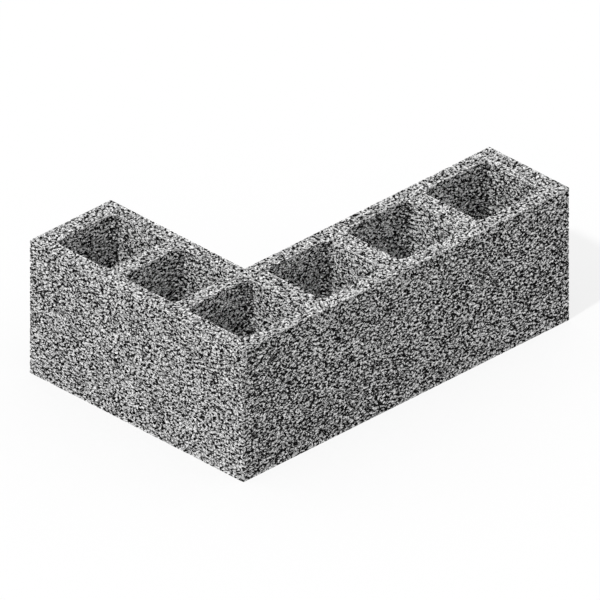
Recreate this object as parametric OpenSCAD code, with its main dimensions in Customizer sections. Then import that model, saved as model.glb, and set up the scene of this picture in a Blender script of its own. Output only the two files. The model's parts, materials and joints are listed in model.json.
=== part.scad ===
// Hollow concrete corner block, L-shaped in plan, cast in one piece.
// X runs along the long arm, Y along the short arm and Z up.
// The origin is under the centre of the plan's bounding rectangle.

/* [Block] */
// Outer length of the long arm, measured from the outer corner
long_arm = 600; // [560:5:700]
// Outer length of the short arm, measured from the outer corner
short_arm = 400; // [380:5:480]
// Thickness of the wall that the block builds, the same on both arms
arm_width = 150; // [130:5:180]
// Height of the block, bed face to bed face
block_height = 200; // [150:5:250]
// Radius on the upright outer corners
arris_radius = 2; // [1:0.5:4]

/* [Walls] */
// Thickness of the face shells at the top bed
face_shell = 21; // [18:0.5:26]
// Thickness of the webs between the long arm's cells, at the top bed
long_web = 30; // [24:0.5:36]
// Thickness of the long arm's end wall at the top bed
long_end = 30; // [24:0.5:36]
// Thickness of the web between the short arm's cells, at the top bed
short_web = 25; // [20:0.5:32]
// Thickness of the short arm's end wall at the top bed
short_end = 27; // [20:0.5:32]

/* [Cells] */
// Number of cells in the long arm, the corner cell included
long_cells = 4; // [3:1:5]
// Number of cells in the short arm beyond the long arm
short_cells = 2; // [1:1:3]
// Radius of a cell's upright corners at the top bed
cell_radius = 12; // [8:0.5:16]
// Draft: how far each cell wall leans out from the top bed to the bottom bed
cell_draft = 1.5; // [0.5:0.25:3]

/* [Hidden] */
round_fn = 96;
// How far a cutting core runs past the bed faces
overrun = 5;

// Clear width of every cell, between the face shells
cell_width = arm_width - 2 * face_shell;
// Clear length of a long-arm cell: what the walls and webs leave of the arm
long_cell = (long_arm - face_shell - long_end - (long_cells - 1) * long_web) / long_cells;
// The short arm starts at the long arm's inner face, and that shell closes its first cell
short_run = short_arm - arm_width;
short_cell = (short_run - short_end - (short_cells - 1) * short_web) / short_cells;

// Radius of a cell corner at height z
function corner_radius(z) = cell_radius + cell_draft * (block_height - z) / block_height;

// Rectangle with its near corner at the origin and all four corners rounded
module rounded_rectangle(length, width, radius) {
  translate([radius, 0]) square([length - 2 * radius, width]);
  translate([0, radius]) square([length, width - 2 * radius]);
  for (x = [radius, length - radius], y = [radius, width - radius])
    translate([x, y]) circle(r = radius, $fn = round_fn);
}

// Plan of the two arms, with the outer corner at the origin
module l_plan() {
  rounded_rectangle(long_arm, arm_width, arris_radius);
  rounded_rectangle(arm_width, short_arm, arris_radius);
}

// Upright wedge-sided slab of a core: `run` long in X, and as wide in Y at each
// height as two corner radii and the straight part between them
module core_slab(run, straight) {
  low = -overrun;
  high = block_height + overrun;
  half_low = straight / 2 + corner_radius(low);
  half_high = straight / 2 + corner_radius(high);
  rotate([90, 0, 90])
    translate([0, 0, -run / 2])
      linear_extrude(height = run)
        polygon([[-half_low, low], [half_low, low], [half_high, high], [-half_high, high]]);
}

// The tapered core that forms one cell, centred on the origin in plan.
// Its corners are upright cones, so the flat walls between them are tangent at every height.
module cell_core(length, width) {
  straight_x = length - 2 * cell_radius;
  straight_y = width - 2 * cell_radius;
  core_slab(straight_x, straight_y);
  rotate([0, 0, 90]) core_slab(straight_y, straight_x);
  for (x = [-1, 1], y = [-1, 1])
    translate([x * straight_x / 2, y * straight_y / 2, -overrun])
      cylinder(h = block_height + 2 * overrun, r1 = corner_radius(-overrun),
               r2 = corner_radius(block_height + overrun), $fn = round_fn);
}

// The row of cores in the long arm, the corner cell first
module long_cores() {
  for (i = [0:long_cells - 1])
    translate([face_shell + long_cell / 2 + i * (long_cell + long_web), arm_width / 2, 0])
      cell_core(long_cell, cell_width);
}

// The row of cores in the short arm, starting at the long arm's inner face
module short_cores() {
  for (i = [0:short_cells - 1])
    translate([arm_width / 2, arm_width + short_cell / 2 + i * (short_cell + short_web), 0])
      cell_core(cell_width, short_cell);
}

// The whole block: both arms in one casting, with the cells running right through
module block() {
  color("darkgray")
    translate([-long_arm / 2, -short_arm / 2, 0])
      difference() {
        linear_extrude(height = block_height) l_plan();
        long_cores();
        short_cores();
      }
}

block();
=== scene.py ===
"""Looks of a hollow concrete corner block: open-textured stone with its aggregate showing.

The block's own body is a recessed, uneven skin of cement paste. Thousands of low stones are pressed
into it, flush with the moulded faces, with dark gaps between them. Bars of fines lie along the arrises.
"""

import json
import math

import bmesh
import bpy
import numpy as np
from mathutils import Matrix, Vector, noise
from mathutils.bvhtree import BVHTree


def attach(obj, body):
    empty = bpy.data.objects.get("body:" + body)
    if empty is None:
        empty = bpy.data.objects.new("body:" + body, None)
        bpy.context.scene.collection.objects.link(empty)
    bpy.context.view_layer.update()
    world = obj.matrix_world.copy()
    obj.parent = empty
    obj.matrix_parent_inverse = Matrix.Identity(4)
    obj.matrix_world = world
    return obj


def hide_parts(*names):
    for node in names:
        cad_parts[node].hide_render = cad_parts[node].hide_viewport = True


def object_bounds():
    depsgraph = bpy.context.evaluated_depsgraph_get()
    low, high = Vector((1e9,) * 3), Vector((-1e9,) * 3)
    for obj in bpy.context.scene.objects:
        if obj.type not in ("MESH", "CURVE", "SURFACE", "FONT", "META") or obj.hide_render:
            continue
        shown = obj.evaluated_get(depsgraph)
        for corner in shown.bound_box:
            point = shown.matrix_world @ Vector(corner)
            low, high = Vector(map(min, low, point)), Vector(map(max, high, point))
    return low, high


MM = 0.001
SEED = 23

# Camera: a parallel view along the drawn direction
FRAME_PIXELS = 600
PIXELS_PER_METRE = 763.4
VIEW_AZIMUTH = math.radians(-44.56)
VIEW_ELEVATION = math.radians(30.4)
OUTER_CORNER_PIXEL = (243.4, 482.3)
CAMERA_DISTANCE = 2.5

# Light: an even sky, and a soft lamp turned a little from the short arm's outer face to the long one's
SKY_STRENGTH = 0.69
SUN_STRENGTH = 1.77
SUN_ELEVATION = math.radians(50)
SUN_TURN = math.radians(-6)
SUN_SOFTNESS = math.radians(4)

# Floor: grey to the light, and nearly white to the camera
FLOOR_SIZE = 12.0
FLOOR_COLOUR = 0.45
FLOOR_SHOWN_COLOUR = 0.9
FLOOR_WHITE_SHARE = 0.75

# Dull surfaces: gloss of both, and roughness and depth of the fine relief of each
SPECULAR = 0.2
PASTE_SURFACE = (0.95, 0.6 * MM)
STONE_SURFACE = (0.92, 0.3 * MM)

# Cement paste behind the stones, painted nearly black as the shade in the gaps
PASTE_VOXEL = 4.2 * MM
PASTE_DEPTH = 2.4 * MM
PASTE_RELIEF = 0.7 * MM
PASTE_RELIEF_PITCH = 7 * MM
PASTE_GRAIN = (700, 4)
PASTE_AND_SHADE_GREYS = (0.005, 0.03)

# Stones: radius of each size, largest first, with its share of the room it could take
STONE_SIZES = ((3.5 * MM, 0.12), (2.95 * MM, 0.25), (2.5 * MM, 0.4), (2.05 * MM, 0.5))
STONE_TOUCH = 0.71
STONE_TRIES = 7

# Share of the smallest stones that are lost, which leaves holes
LOST_SHARE = 0.03

# Outline of a stone: how far its corners reach, as shares of the radius, how far they turn out of their
# even places, as shares of a side, and how much it is stretched
OUTLINE = (0.72, 1.25)
CORNER_TURN = 0.3
STRETCH = (0.7, 1.4)

# More stretch sideways on walls, the faces whose normals rise or fall by less than this cosine
WALL_STRETCH = 1.2
WALL_FACING = 0.6

# A stone has this many sides, and one more past each of these radii
LEAST_SIDES = 5
SIDES_GROW_AT = (2.3 * MM, 3.2 * MM)

# How far a stone tilts, how uneven it is, and how deep it sinks
TILT = 0.13
UNEVEN = 0.07
STONE_SUNK = 0.5 * MM

# Rings of a stone from its outer face inwards: share of its radius, depth as a share of the radius,
# tone, lower on the inner ring as painted shade towards the gaps, and place in the map
STONE_RINGS = ((0.88, 0.0, 1.0, 0.38), (1.0, 0.6, 0.8, 0.47))

# Rims of fines along the arrises: width on each face, how it waves, length of a piece, and tone
RIM_WIDTH = 1.7 * MM
RIM_WAVE = 1.2 * MM
RIM_PITCH = 5 * MM
RIM_STEP = 2.5 * MM
RIM_TONES = (0.78, 0.12)

# Stones along the arrises
WELD = 0.01 * MM
ARRIS_ANGLE = math.radians(60)
ARRIS_STONE = 2.8 * MM
ARRIS_SPREAD = (0.8, 1.2)
ARRIS_TRIES = 12
ARRIS_TOUCH = 0.75
ARRIS_INSET = (0.6, 1.1)
# Tone of the inner ring of the stones on the arrises, painted shade towards the gaps
ARRIS_EDGE_PAINTED_SHADE = 0.8

# Columns of the table of stones
PLACE = slice(0, 3)
WAY = slice(3, 6)
RADIUS = 6
ON_ARRIS = 7

# Tones of the stones
TONE_MEAN = 0.78
TONE_SPREAD = 0.07
TONE_RANGE = (0.1, 0.95)

# Stones on rounded upright corners, facing along neither X nor Y, get painted shade, and more so towards
# X
CORNER_PAINTED_SHADE = 0.95
CORNER_PAINTED_SHADE_FADE = 0.3
CORNER_FACING = 0.15

# Grain of the stones, which lies flat: its stretch and turn, and where its noise mostly lies
GRAIN_SCALE = (0.83, 0.83, 1.25)
GRAIN_TURN = (0.5, 0.7, 0.3)
NOISE_RANGE = (0.3, 0.7)

# Layers of grain: scale and detail of the noise, and the tones that it is spread to; the relief has none
SPECKLES = (400, 1, (0.8, 1.2))
SAND = (500, 1, (0.42, 1.58))
PATCHES = (10, 2, (0.95, 1.05))
SAND_RELIEF = (500, 2)

# Openings between the grains, painted dark as shade with a painted highlight on their lips: pattern,
# its scale, scale of the waves on their edges, how far these go
HOLES = ("F1", 160, 400, (-0.14, 0.14))
CREVICES = ("DISTANCE_TO_EDGE", 132, 340, (-0.2, 0.48))
WAVE_DETAIL = 1
OPENING_RANDOMNESS = 0.75
OPENING_EDGE = 0.015
HIGHLIGHT_LIP_WIDTH = 0.1
PAST_HIGHLIGHT_GREY = 0.8

# Looks of the beds and rims, the cells' walls that face along X, those that face along Y, the long arm's
# outer face, and the other faces: contrast, gain, size of the holes, and size of the crevices
# These are lit and shaded copies of one material: contrast and gain paint the light and shade of each
# facing
LIT_AND_SHADED_LOOKS = {
    "bed": (1.4, 1.53, 0.308, 0.119),
    "cell": (2.6, 5.0, 0.32, 0.168),
    "shell": (3.8, 15.2, 0.325, 0.172),
    "face": (3.4, 8.8, 0.345, 0.185),
    "side": (1.65, 1.9, 0.345, 0.13),
}

# Neighbours are looked for in cubes of this size, and a cell's stones this far round it
REACH = 2.4 * STONE_SIZES[0][0]
CELL_REACH = 10 * MM

# A stone belongs to a bed or to the long face if it looks this far that way, as a cosine
FACING = 0.9

# The cells' walls lean, so two normals at an arris are past a right angle by less than this, as a cosine
ARRIS_LEAN = 0.02

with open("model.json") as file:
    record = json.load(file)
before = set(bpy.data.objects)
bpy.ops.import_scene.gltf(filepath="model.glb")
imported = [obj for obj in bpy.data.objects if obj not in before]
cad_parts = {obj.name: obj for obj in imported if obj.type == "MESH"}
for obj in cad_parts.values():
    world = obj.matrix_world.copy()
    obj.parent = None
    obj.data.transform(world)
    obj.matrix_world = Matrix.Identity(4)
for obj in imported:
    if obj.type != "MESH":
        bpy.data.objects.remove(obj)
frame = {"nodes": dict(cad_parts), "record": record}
cad_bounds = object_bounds()
rng = np.random.default_rng(SEED)


def make_camera():
    """Looks along the drawn direction, with the outer bottom corner on its pixel."""
    data = bpy.data.cameras.new("camera")
    data.type = "ORTHO"
    data.ortho_scale = FRAME_PIXELS / PIXELS_PER_METRE
    camera = bpy.data.objects.new("camera", data)
    bpy.context.scene.collection.objects.link(camera)
    flat = math.cos(VIEW_ELEVATION)
    height = math.sin(VIEW_ELEVATION)
    back = Vector((math.sin(VIEW_AZIMUTH) * flat, -math.cos(VIEW_AZIMUTH) * flat, height))
    right = Vector((math.cos(VIEW_AZIMUTH), math.sin(VIEW_AZIMUTH), 0))
    up = back.cross(right)
    across = (FRAME_PIXELS / 2 - OUTER_CORNER_PIXEL[0]) / PIXELS_PER_METRE
    above = (OUTER_CORNER_PIXEL[1] - FRAME_PIXELS / 2) / PIXELS_PER_METRE
    camera.location = Vector(cad_bounds[0]) + across * right + above * up + CAMERA_DISTANCE * back
    camera.rotation_euler = back.to_track_quat("Z", "Y").to_euler()
    bpy.context.scene.camera = camera


def new_tree(name):
    """A material, its emptied node tree and a new output node."""
    material = bpy.data.materials.new(name)
    material.use_nodes = True
    material.node_tree.nodes.clear()
    return material, material.node_tree, material.node_tree.nodes.new("ShaderNodeOutputMaterial")


def grey_shader(tree, kind, grey):
    """A new shader node in one grey."""
    node = tree.nodes.new(kind)
    node.inputs["Color"].default_value = (grey, grey, grey, 1)
    return node


def light_shader(tree, kind, strength):
    """A new white light's shader node."""
    node = grey_shader(tree, kind, 1)
    node.inputs["Strength"].default_value = strength
    return node


def mixed(tree, first, second):
    """A new node that mixes two shaders."""
    node = tree.nodes.new("ShaderNodeMixShader")
    tree.links.new(first.outputs[0], node.inputs[1])
    tree.links.new(second.outputs[0], node.inputs[2])
    return node


def show_apart(tree, output, lit, shown):
    """Gives the camera one shader and all other rays another."""
    choice = mixed(tree, lit, shown)
    path = tree.nodes.new("ShaderNodeLightPath")
    tree.links.new(path.outputs["Is Camera Ray"], choice.inputs["Fac"])
    tree.links.new(choice.outputs["Shader"], output.inputs["Surface"])


def make_floor():
    """A pale floor that shows nearly white and keeps the block's shadow."""
    material, tree, output = new_tree("pale_floor")
    lit = grey_shader(tree, "ShaderNodeBsdfDiffuse", FLOOR_COLOUR)
    pale = grey_shader(tree, "ShaderNodeBsdfDiffuse", FLOOR_SHOWN_COLOUR)
    shown = mixed(tree, pale, light_shader(tree, "ShaderNodeEmission", 1))
    shown.inputs["Fac"].default_value = FLOOR_WHITE_SHARE
    show_apart(tree, output, lit, shown)
    bpy.ops.mesh.primitive_plane_add(size=FLOOR_SIZE, location=(0, 0, cad_bounds[0].z))
    floor = bpy.context.active_object
    floor.name = "floor"
    floor.data.materials.append(material)


def make_sky():
    """An even sky that shows white to the camera."""
    world = bpy.data.worlds.new("sky")
    bpy.context.scene.world = world
    world.use_nodes = True
    tree = world.node_tree
    tree.nodes.clear()
    output = tree.nodes.new("ShaderNodeOutputWorld")
    lit = light_shader(tree, "ShaderNodeBackground", SKY_STRENGTH)
    show_apart(tree, output, lit, light_shader(tree, "ShaderNodeBackground", 1))


def make_sun():
    """One soft lamp over the short arm's outer face, turned a little to the long one's."""
    data = bpy.data.lights.new("key", "SUN")
    data.energy = SUN_STRENGTH
    data.angle = SUN_SOFTNESS
    key = bpy.data.objects.new("key", data)
    bpy.context.scene.collection.objects.link(key)
    flat = math.cos(SUN_ELEVATION)
    height = math.sin(SUN_ELEVATION)
    towards = Vector((-math.cos(SUN_TURN) * flat, math.sin(SUN_TURN) * flat, height))
    key.rotation_euler = towards.to_track_quat("Z", "Y").to_euler()


def noise_at(tree, place, scale, detail):
    """The value of a noise pattern."""
    pattern = tree.nodes.new("ShaderNodeTexNoise")
    pattern.inputs["Scale"].default_value = scale
    pattern.inputs["Detail"].default_value = detail
    tree.links.new(place, pattern.inputs["Vector"])
    return pattern.outputs["Fac"]


def spread(tree, value, wanted):
    """Stretches a noise pattern's value to the wanted range."""
    node = tree.nodes.new("ShaderNodeMapRange")
    node.inputs["From Min"].default_value = NOISE_RANGE[0]
    node.inputs["From Max"].default_value = NOISE_RANGE[1]
    node.inputs["To Min"].default_value = wanted[0]
    node.inputs["To Max"].default_value = wanted[1]
    tree.links.new(value, node.inputs["Value"])
    return node.outputs["Result"]


def calculate(tree, operation, first, second):
    """The result of a sum on two sockets, or on a socket and a number, and then kept from 0 to 1."""
    node = tree.nodes.new("ShaderNodeMath")
    node.operation = operation
    tree.links.new(first, node.inputs[0])
    if isinstance(second, (int, float)):
        node.inputs[1].default_value = second
        node.use_clamp = True
    else:
        tree.links.new(second, node.inputs[1])
    return node.outputs["Value"]


def grain_at(tree, place, kind):
    """One layer of grain: a noise pattern spread to its tones."""
    scale, detail, tones = kind
    return spread(tree, noise_at(tree, place, scale, detail), tones)


def openings_at(tree, place, kind, size):
    """Nought in openings of one kind as painted shade, one on their lips as a painted highlight, and
    less elsewhere.
    """
    feature, scale, wave_scale, wave = kind
    pattern = tree.nodes.new("ShaderNodeTexVoronoi")
    pattern.feature = feature
    pattern.inputs["Scale"].default_value = scale
    pattern.inputs["Randomness"].default_value = OPENING_RANDOMNESS
    tree.links.new(place, pattern.inputs["Vector"])
    waves = grain_at(tree, place, (wave_scale, WAVE_DETAIL, wave))
    ramp = tree.nodes.new("ShaderNodeValToRGB")
    stops = ramp.color_ramp.elements
    stops[0].position = size - OPENING_EDGE
    stops[1].position = size + OPENING_EDGE
    stops.new(size + OPENING_EDGE + HIGHLIGHT_LIP_WIDTH).color = (PAST_HIGHLIGHT_GREY, PAST_HIGHLIGHT_GREY, PAST_HIGHLIGHT_GREY, 1)
    tree.links.new(calculate(tree, "ADD", pattern.outputs["Distance"], waves), ramp.inputs["Fac"])
    return ramp.outputs["Color"]


def rough_surface(tree, output, colour, height, kind):
    """A dull surface of this colour with a fine relief."""
    roughness, relief = kind
    surface = tree.nodes.new("ShaderNodeBsdfPrincipled")
    surface.inputs["Roughness"].default_value = roughness
    surface.inputs["Specular IOR Level"].default_value = SPECULAR
    bump = tree.nodes.new("ShaderNodeBump")
    bump.inputs["Distance"].default_value = relief
    tree.links.new(colour, surface.inputs["Base Color"])
    tree.links.new(height, bump.inputs["Height"])
    tree.links.new(bump.outputs["Normal"], surface.inputs["Normal"])
    tree.links.new(surface.outputs["BSDF"], output.inputs["Surface"])


def stone_material(look):
    """Grey crushed stone: each stone's own tone under fine grain, patches and small openings painted
    dark as shade, with painted highlights on their lips.
    """
    # This look's contrast and gain paint the light and shade of the faces that it is used on
    contrast, gain, hole_size, crevice_size = LIT_AND_SHADED_LOOKS[look]
    material, tree, output = new_tree(f"aggregate_{look}")
    turned = tree.nodes.new("ShaderNodeMapping")
    turned.inputs["Rotation"].default_value = GRAIN_TURN
    turned.inputs["Scale"].default_value = GRAIN_SCALE
    tree.links.new(tree.nodes.new("ShaderNodeTexCoord").outputs["Object"], turned.inputs["Vector"])
    place = turned.outputs["Vector"]
    tone = tree.nodes.new("ShaderNodeAttribute")
    tone.attribute_name = "tone"
    layers = (
        grain_at(tree, place, SPECKLES),
        grain_at(tree, place, SAND),
        grain_at(tree, place, PATCHES),
        openings_at(tree, place, HOLES, hole_size),
        openings_at(tree, place, CREVICES, crevice_size),
    )
    grey = tone.outputs["Fac"]
    for layer in layers:
        grey = calculate(tree, "MULTIPLY", grey, layer)
    grey = calculate(tree, "POWER", grey, contrast)
    grey = calculate(tree, "MULTIPLY", grey, gain)
    rough_surface(tree, output, grey, noise_at(tree, place, *SAND_RELIEF), STONE_SURFACE)
    return material


def paste_and_shade_material():
    """Cement paste in the gaps, painted nearly black as the shade that falls there."""
    material, tree, output = new_tree("cement_paste_and_shade")
    place = tree.nodes.new("ShaderNodeTexCoord").outputs["Object"]
    grain = noise_at(tree, place, *PASTE_GRAIN)
    rough_surface(tree, output, spread(tree, grain, PASTE_AND_SHADE_GREYS), grain, PASTE_SURFACE)
    return material


def numbers(items, name, width, kind=np.float32):
    """One property of all items as an array."""
    found = np.empty(len(items) * width, kind)
    items.foreach_get(name, found)
    return found.reshape(-1, width)


def make_body(node, solid):
    """The block's body: a skin sunk unevenly below the CAD surface, so that the stones stand proud."""
    body = bpy.data.objects.new("block_body", node.data.copy())
    bpy.context.scene.collection.objects.link(body)
    skin = body.modifiers.new("skin", "REMESH")
    skin.mode = "VOXEL"
    skin.voxel_size = PASTE_VOXEL
    skinned = body.evaluated_get(bpy.context.evaluated_depsgraph_get())
    mesh = bpy.data.meshes.new_from_object(skinned)
    body.modifiers.clear()
    body.data = mesh
    places = numbers(mesh.vertices, "co", 3)
    normals = numbers(mesh.vertices, "normal", 3)
    relief = np.array([noise.noise(Vector(place) / PASTE_RELIEF_PITCH) for place in places])
    surface = np.array([solid.find_nearest(place)[0][:] for place in places.tolist()])
    sunk = surface - normals * (PASTE_DEPTH + PASTE_RELIEF * relief)[:, None]
    mesh.vertices.foreach_set("co", sunk.astype(np.float32).ravel())
    mesh.polygons.foreach_set("use_smooth", np.ones(len(mesh.polygons), bool))
    mesh.materials.clear()
    mesh.materials.append(paste_and_shade_material())
    mesh.update()
    return body


def surface_triangles(mesh):
    """Corners, outward normals and areas of those of the mesh's triangles that have an area."""
    mesh.calc_loop_triangles()
    places = numbers(mesh.vertices, "co", 3).astype(float)
    triangles = places[numbers(mesh.loop_triangles, "vertices", 3, np.int32)]
    crossed = np.cross(triangles[:, 1] - triangles[:, 0], triangles[:, 2] - triangles[:, 0])
    twice = np.linalg.norm(crossed, axis=1)
    kept = twice > 0
    return triangles[kept], crossed[kept] / twice[kept, None], twice[kept] / 2


def arrises(mesh):
    """Both ends of each sharp convex arris of the mesh, and the normals of the faces that meet there."""
    shape = bmesh.new()
    shape.from_mesh(mesh)
    bmesh.ops.remove_doubles(shape, verts=shape.verts, dist=WELD)
    found = []
    for edge in shape.edges:
        if len(edge.link_faces) == 2 and edge.calc_face_angle_signed(0) > ARRIS_ANGLE:
            ends = [vert.co[:] for vert in edge.verts]
            found.append(ends + [face.normal[:] for face in edge.link_faces])
    shape.free()
    return np.array(found)


def along_arrises(edges):
    """Stones scattered just inside the arrises, each on one of the two faces that meet there."""
    starts, ends, normals = edges[:, 0], edges[:, 1], edges[:, 2:]
    lengths = np.linalg.norm(ends - starts, axis=1)
    count = int(ARRIS_TRIES * lengths.sum() / ARRIS_STONE)
    radii = ARRIS_STONE * rng.uniform(*ARRIS_SPREAD, count)
    chosen = rng.choice(len(lengths), count, p=lengths / lengths.sum())
    part = rng.random((count, 1))
    side = rng.integers(0, 2, count)
    inset = (radii * rng.uniform(*ARRIS_INSET, count))[:, None]
    places = starts[chosen] + part * (ends - starts)[chosen] - inset * normals[chosen, 1 - side]
    return np.column_stack([places, normals[chosen, side], radii, np.ones(count)])


def over_faces(triangles, normals, areas, radius, count):
    """Stones of one size scattered evenly over the triangles."""
    chosen = rng.choice(len(areas), count, p=areas / areas.sum())
    u, v = rng.random((2, count, 1))
    folded = u + v > 1
    u[folded], v[folded] = 1 - u[folded], 1 - v[folded]
    origin = triangles[chosen, 0]
    places = origin + u * (triangles[chosen, 1] - origin) + v * (triangles[chosen, 2] - origin)
    return np.column_stack([places, normals[chosen], np.full(count, radius), np.zeros(count)])


def lay(stones, touch, cubes, laid):
    """Keeps those stones that have room, one after the other."""
    keys = np.floor(stones[:, PLACE] / REACH).astype(int).tolist()
    for stone, key in zip(stones.tolist(), keys):
        if has_room(stone, key, touch, cubes):
            cubes.setdefault(tuple(key), []).append((*stone[PLACE], stone[RADIUS]))
            laid.append(stone)


def has_room(stone, key, touch, cubes):
    """Whether a stone keeps off those already laid in the cubes around it."""
    x, y, z = stone[PLACE]
    radius = stone[RADIUS]
    for i in (key[0] - 1, key[0], key[0] + 1):
        for j in (key[1] - 1, key[1], key[1] + 1):
            for k in (key[2] - 1, key[2], key[2] + 1):
                for ox, oy, oz, other in cubes.get((i, j, k), ()):
                    apart = touch * (radius + other)
                    if (x - ox) ** 2 + (y - oy) ** 2 + (z - oz) ** 2 < apart * apart:
                        return False
    return True


def lay_stones(mesh, edges):
    """The table of stones over the whole block: first those on the arrises, then from large to small."""
    cubes, laid = {}, []
    lay(along_arrises(edges), ARRIS_TOUCH, cubes, laid)
    triangles, normals, areas = surface_triangles(mesh)
    for radius, share in STONE_SIZES:
        count = int(share * STONE_TRIES * areas.sum() / (math.pi * radius**2))
        lay(over_faces(triangles, normals, areas, radius, count), STONE_TOUCH, cubes, laid)
    stones = np.array(laid)
    firm = (stones[:, ON_ARRIS] > 0) | (stones[:, RADIUS] > STONE_SIZES[-1][0])
    return stones[firm | (rng.random(len(stones)) > LOST_SHARE)]


def stone_faces(sides):
    """Corner lists of one stone: its inner face, the bands between its rings and its outer face."""
    last = (len(STONE_RINGS) - 1) * sides
    faces = [[last + i for i in reversed(range(sides))]]
    for first in range(0, last, sides):
        for i in range(sides):
            j = (i + 1) % sides
            faces.append([first + i, first + sides + i, first + sides + j, first + j])
    faces.append(list(range(sides)))
    return faces


def shape_stones(sides, stones):
    """Corners of irregular low stones with this many sides, as (stones, corners, 3)."""
    count = len(stones)
    up, radius = stones[:, WAY], stones[:, RADIUS, None]
    on_wall = np.abs(up[:, 2:]) < WALL_FACING
    helper = np.where(on_wall, (0.0, 0.0, 1.0), (1.0, 0.0, 0.0))
    across = np.cross(helper, up)
    across /= np.linalg.norm(across, axis=1)[:, None]
    along = np.cross(up, across)
    turns = rng.uniform(-CORNER_TURN, CORNER_TURN, (count, sides))
    angle = (np.arange(sides) + turns + sides * rng.random((count, 1))) * 2 * math.pi / sides
    outline = radius * rng.uniform(*OUTLINE, (count, sides))
    stretch = rng.uniform(*STRETCH, (count, 1)) * np.where(on_wall, WALL_STRETCH, 1)
    x = outline * np.cos(angle) * stretch
    y = outline * np.sin(angle) / stretch
    tilt = rng.normal(0, TILT, (2, count, 1))
    sink = rng.uniform(0, STONE_SUNK, (count, 1))
    rings = []
    for share, depth, _, _ in STONE_RINGS:
        uneven = rng.uniform(-UNEVEN, UNEVEN, (count, sides))
        height = radius * (uneven - depth) + tilt[0] * x + tilt[1] * y - sink
        flat = (share * x)[:, :, None] * across[:, None] + (share * y)[:, :, None] * along[:, None]
        rings.append(stones[:, None, PLACE] + flat + height[:, :, None] * up[:, None])
    return np.stack(rings, 1).reshape(count, -1, 3)


def corner_tones(sides, stones):
    """Tone of each stone's corners: its own, with painted shade in its gaps and on rounded upright
    corners.
    """
    tones = np.clip(rng.normal(TONE_MEAN, TONE_SPREAD, len(stones)), *TONE_RANGE)
    facing = np.abs(stones[:, WAY][:, :2])
    rounded = facing.min(1) > CORNER_FACING
    # Painted shade on the stones of the rounded upright corners
    tones[rounded] *= CORNER_PAINTED_SHADE * (1 - CORNER_PAINTED_SHADE_FADE * np.sqrt(facing[rounded, 0]))
    # Each ring's tone, with painted shade towards the gaps on the inner ring
    rings = np.tile([tone for _, _, tone, _ in STONE_RINGS], (len(stones), 1))
    rings[stones[:, ON_ARRIS] > 0, -1] = ARRIS_EDGE_PAINTED_SHADE
    return (tones[:, None] * rings).repeat(sides, 1)


def map_places(sides, order, columns):
    """Where each stone's corners go in its own square of the map meant for its colours."""
    turn = 2 * math.pi * np.arange(sides) / sides
    star = np.column_stack([np.cos(turn), np.sin(turn)])
    corners = np.concatenate([place * star for _, _, _, place in STONE_RINGS])
    squares = np.column_stack([order % columns, order // columns]) + 0.5
    return (squares[:, None] + corners) / columns


def keep_inside(points, solid):
    """Brings points that lie outside the CAD solid back to its surface."""
    for index, point in enumerate(points.tolist()):
        near, normal, _, distance = solid.find_nearest(point)
        if (Vector(point) - near).dot(normal) > -ARRIS_LEAN * distance:
            points[index] = near


def fill_mesh(name, corners, loops, sizes, tones):
    """A flat-shaded mesh of these faces, with a tone at each corner."""
    mesh = bpy.data.meshes.new(name)
    mesh.vertices.add(len(corners))
    mesh.vertices.foreach_set("co", corners.astype(np.float32).ravel())
    mesh.loops.add(len(loops))
    mesh.loops.foreach_set("vertex_index", loops)
    mesh.polygons.add(len(sizes))
    mesh.polygons.foreach_set("loop_start", np.cumsum(sizes) - sizes)
    mesh.polygons.foreach_set("use_smooth", np.zeros(len(sizes), bool))
    mesh.update(calc_edges=True)
    tone = mesh.attributes.new("tone", "FLOAT", "POINT")
    tone.data.foreach_set("value", tones.astype(np.float32))
    return mesh


def stone_mesh(name, stones, solid):
    """One mesh of closed stones, with its tones and its map."""
    growth = (stones[:, RADIUS, None] > SIDES_GROW_AT).sum(1)
    columns = math.ceil(math.sqrt(len(stones)))
    corners, loops, sizes, tones, spots = [], [], [], [], []
    start = 0
    for step in np.unique(growth):
        mine = np.flatnonzero(growth == step)
        sides = LEAST_SIDES + int(step)
        faces = stone_faces(sides)
        each = len(STONE_RINGS) * sides
        first = start + each * np.arange(len(mine))
        corners.append(shape_stones(sides, stones[mine]).reshape(-1, 3))
        loops.append((first[:, None] + np.concatenate(faces)).ravel())
        sizes.append(np.tile([len(face) for face in faces], len(mine)))
        tones.append(corner_tones(sides, stones[mine]).ravel())
        spots.append(map_places(sides, mine, columns).reshape(-1, 2))
        start += each * len(mine)
    parts = (corners, loops, sizes, tones, spots)
    corners, loops, sizes, tones, spots = map(np.concatenate, parts)
    keep_inside(corners, solid)
    mesh = fill_mesh(name, corners, loops, sizes, tones)
    bake_map = mesh.uv_layers.new(name="OFBake")
    bake_map.data.foreach_set("uv", spots[loops].astype(np.float32).ravel())
    return mesh


def rim_reach(place, way):
    """How far a rim reaches over the face that looks this way."""
    return RIM_WIDTH + RIM_WAVE * noise.noise(Vector(place + way) / RIM_PITCH)


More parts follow.
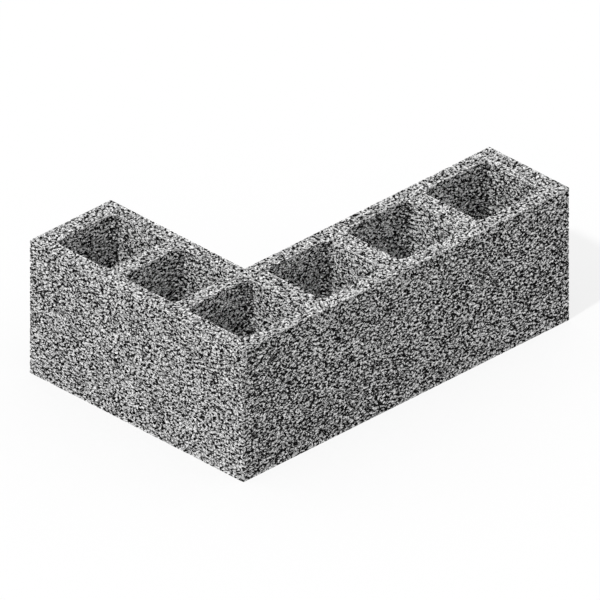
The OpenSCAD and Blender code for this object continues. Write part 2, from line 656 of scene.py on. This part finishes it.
def rim_mesh(name, edges, solid):
    """Bars of dense fines along every sharp arris, with wavy sides where they meet the stones."""
    corners, faces, tones = [], [], []
    for start, end, first, second in edges:
        if np.cross(end - start, second) @ first < 0:
            start, end = end, start
        last = max(1, round(np.linalg.norm(end - start) / RIM_STEP))
        base = len(corners)
        for place in np.linspace(start, end, last + 1):
            over_first = -second * rim_reach(place, first)
            over_second = -first * rim_reach(place, second)
            inner = place + over_first + over_second
            corners += [place, place + over_first, inner, place + over_second]
            tone = RIM_TONES[0] + RIM_TONES[1] * noise.noise(Vector(place) / RIM_PITCH)
            tones += [tone, tone, tone, tone]
        for step in range(last):
            for i in range(4):
                j = (i + 1) % 4
                faces.append([base + 4 * step + k for k in (i, j, 4 + j, 4 + i)])
        faces.append([base + 3, base + 2, base + 1, base])
        faces.append([base + 4 * last + i for i in range(4)])
    corners = np.array(corners)
    keep_inside(corners, solid)
    return fill_mesh(name, corners, np.concatenate(faces), np.full(len(faces), 4), np.array(tones))


def regions(stones):
    """Which stones lie on each bed, on a cell's walls and on each arm's outer faces, and their look."""
    places, ways = stones[:, PLACE], stones[:, WAY]
    left = np.ones(len(stones), bool)
    found = []

    def take(name, look, chosen):
        found.append((name, look, left & chosen))
        left[chosen] = False

    take("top_bed", "bed", ways[:, 2] > FACING)
    take("bottom_bed", "bed", ways[:, 2] < -FACING)
    facing_x = np.abs(ways[:, 0]) > np.abs(ways[:, 1])
    boxes = {opening["name"]: opening["box_m"] for opening in frame["record"]["physics"]["openings"]}
    notch = boxes.pop("inside_corner")
    for name, (low, high) in boxes.items():
        past_low = places > np.array(low) - CELL_REACH
        short_of_high = places < np.array(high) + CELL_REACH
        near = (past_low & short_of_high).all(1)
        take(f"{name}_across", "cell", near & facing_x)
        take(f"{name}_along", "shell", near)
    on_long_arm = places[:, 1] < notch[0][1] + CELL_REACH
    take("long_arm_face", "face", on_long_arm & (ways[:, 1] < -FACING))
    take("long_arm_sides", "side", on_long_arm)
    take("short_arm_sides", "side", ~on_long_arm)
    return found


def add_piece(mesh, material):
    """Hangs a mesh of concrete on the block."""
    mesh.materials.append(material)
    piece = bpy.data.objects.new(mesh.name, mesh)
    bpy.context.scene.collection.objects.link(piece)
    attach(piece, "root")


def make_stones(node, solid):
    """The rims and the aggregate that shows, one object for each region."""
    edges = arrises(node.data)
    stones = lay_stones(node.data, edges)
    materials = {look: stone_material(look) for look in LIT_AND_SHADED_LOOKS}
    add_piece(rim_mesh("aggregate_rims", edges, solid), materials["bed"])
    for region, look, mine in regions(stones):
        add_piece(stone_mesh(f"aggregate_{region}", stones[mine], solid), materials[look])


def main():
    """The whole scene."""
    node = frame["nodes"]["block"]
    make_camera()
    make_floor()
    make_sky()
    make_sun()
    places = [vertex.co[:] for vertex in node.data.vertices]
    solid = BVHTree.FromPolygons(places, [face.vertices[:] for face in node.data.polygons])
    body = make_body(node, solid)
    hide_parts("block")
    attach(body, "root")
    make_stones(node, solid)
    bpy.context.scene.view_settings.view_transform = "Standard"


main()
